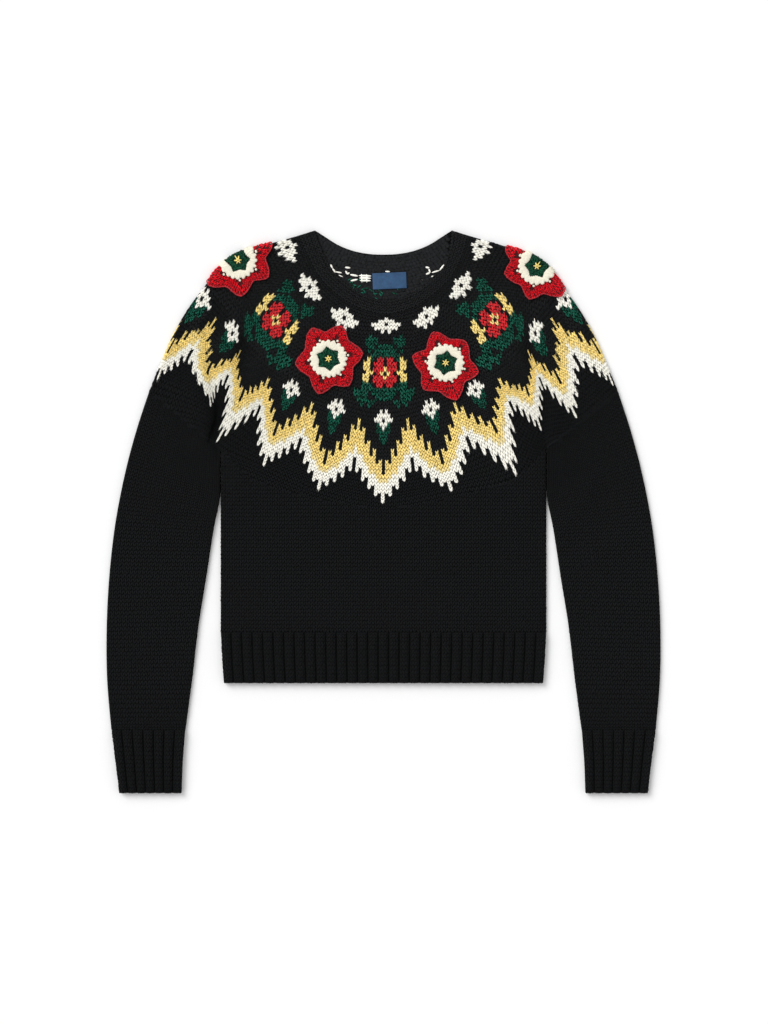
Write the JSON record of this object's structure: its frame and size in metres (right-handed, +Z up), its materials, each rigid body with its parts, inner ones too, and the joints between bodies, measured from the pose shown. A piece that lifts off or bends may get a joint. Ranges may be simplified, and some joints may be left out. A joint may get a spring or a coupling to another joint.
{
  "type": "fair isle jumper",
  "caption": "Cropped knitted jumper laid flat, with a circular fair isle yoke, crocheted flowers sewn on, and a ribbed neckband, hem and cuffs.",
  "frame": {"origin": "middle of the outline, on the surface that the jumper lies on", "axes": "+X to the right of the laid front, +Y from the hem to the neck, +Z up out of the front"},
  "size_m": [0.7216, 0.732, 0.0124],
  "materials": {
    "black_knit": "chunky black cotton knit, matt, with a multicoloured yoke",
    "crochet": "thick red, cream and green cotton crochet, matt",
    "label": "woven satin label, soft sheen"
  },
  "bodies": {
    "root": {"yoke": "black_knit", "body_front": "black_knit", "body_back": "black_knit", "sleeve_left": "black_knit", "sleeve_right": "black_knit", "hem_rib": "black_knit", "cuff_left": "black_knit", "cuff_right": "black_knit", "neckband": "black_knit", "flower_front_left": "crochet", "flower_front_right": "crochet", "flower_shoulder_left": "crochet", "flower_shoulder_right": "crochet", "neck_label": "label"}
  },
  "joints": []
}
